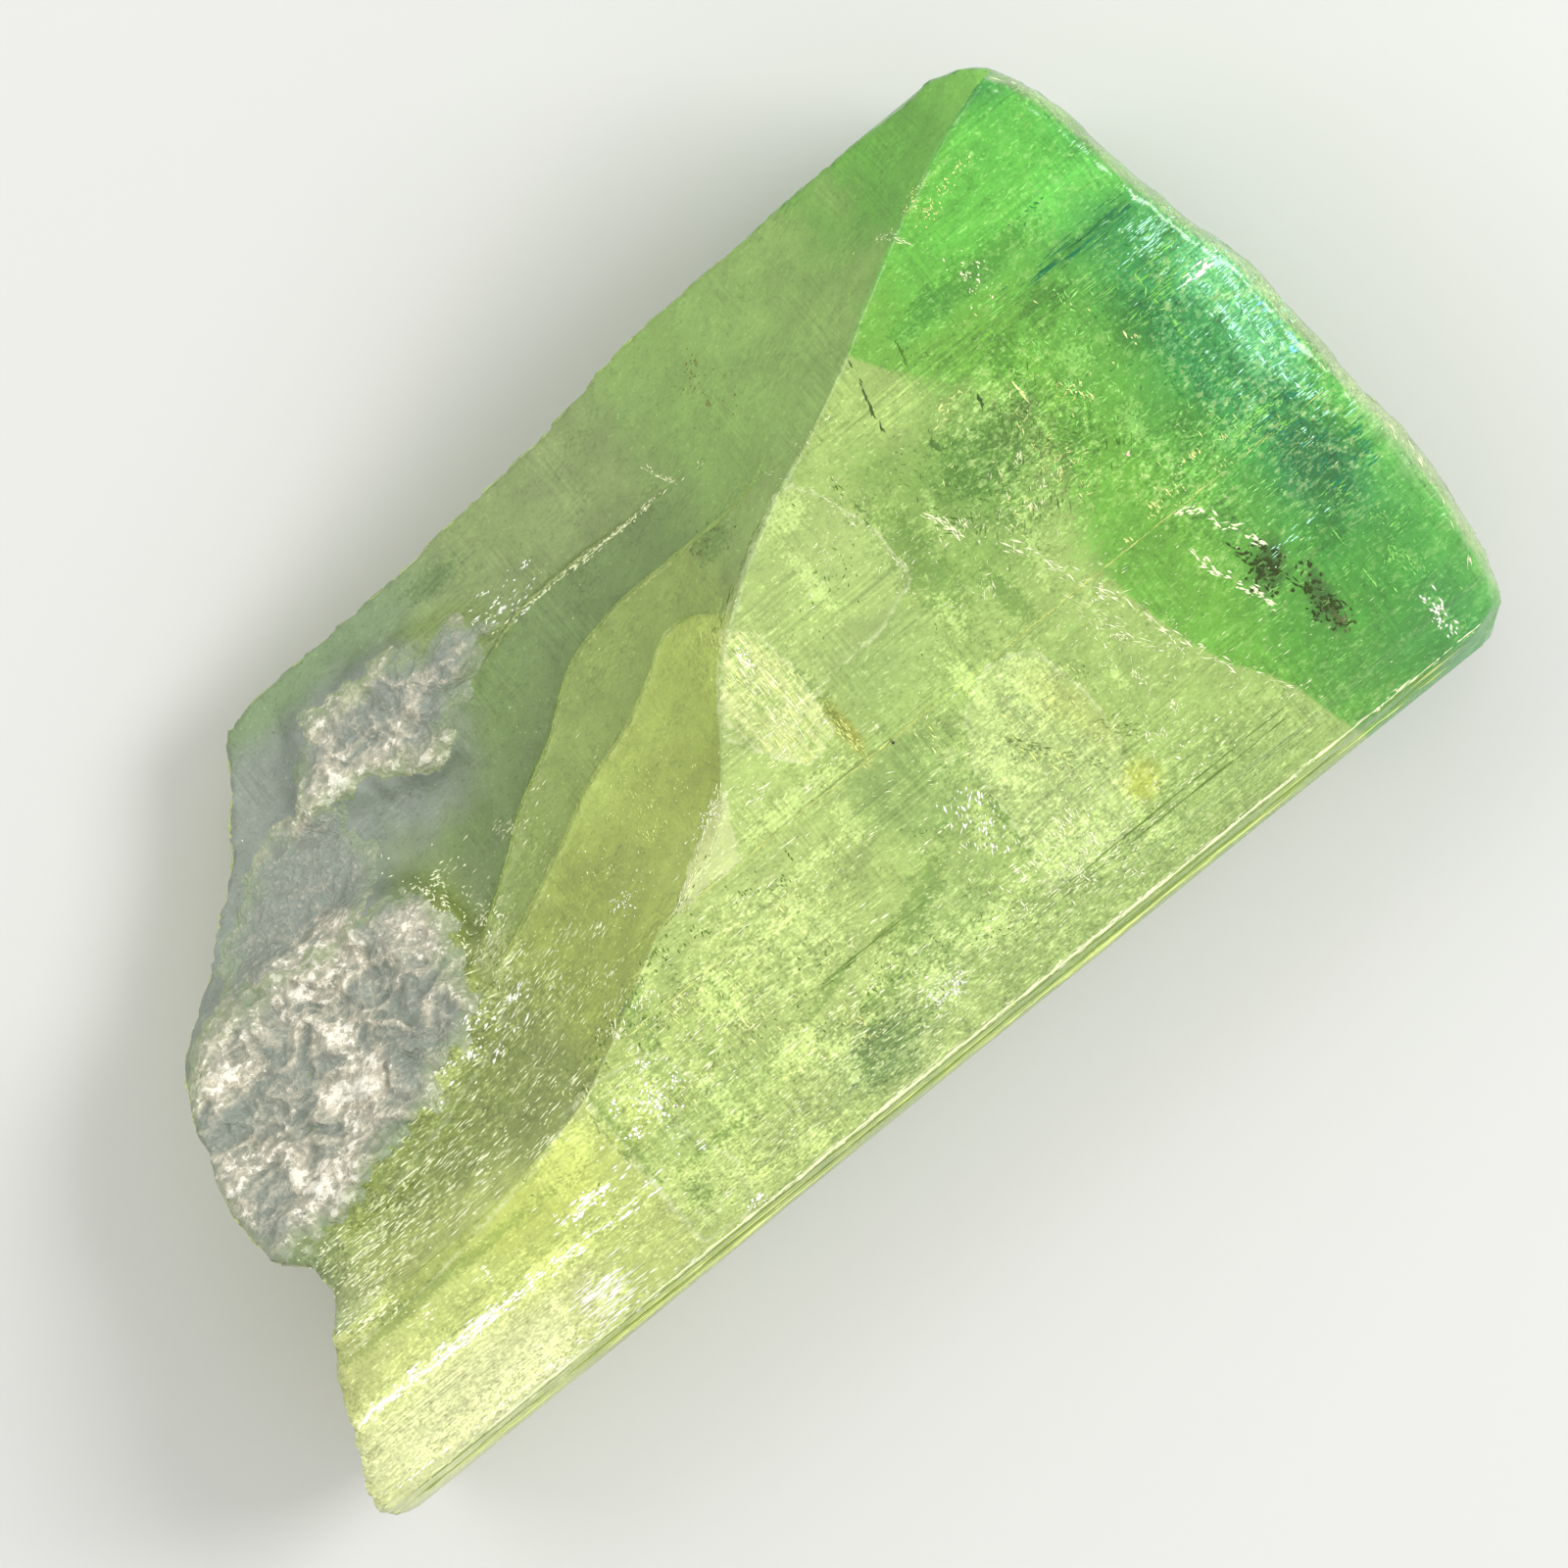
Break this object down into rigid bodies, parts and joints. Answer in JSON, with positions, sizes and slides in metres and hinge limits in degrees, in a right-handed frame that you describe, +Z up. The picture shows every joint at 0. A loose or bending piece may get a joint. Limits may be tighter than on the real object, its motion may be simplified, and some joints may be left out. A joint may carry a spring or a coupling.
{
  "type": "tourmaline crystal",
  "caption": "Loose clear green tourmaline crystal: a striated prism with a worn termination, a ragged base and a broken side with rough crust.",
  "frame": {"origin": "middle of the flat underside, under the centre of the crystal's box seen from above", "axes": "+X along the crystal's long axis from the ragged base to the worn termination, +Y across it from the striated long edge to the broken side, +Z up out of the surface it lies on"},
  "size_m": [0.03, 0.016, 0.0104],
  "materials": {
    "tourmaline": "clear tourmaline, yellow-green at the base through grass green to blue-green at the termination; striated bright faces, a dull grey-green broken side, and a rough grey-white crust near the base",
    "crust": "rough grey-white crust with cream lumps and lilac-grey hollows",
    "inclusion": "small dark olive needles and grains enclosed in the crystal",
    "veil": "thin bright healed cracks inside the crystal"
  },
  "bodies": {
    "root": {"tourmaline_crystal": "tourmaline"}
  },
  "joints": []
}
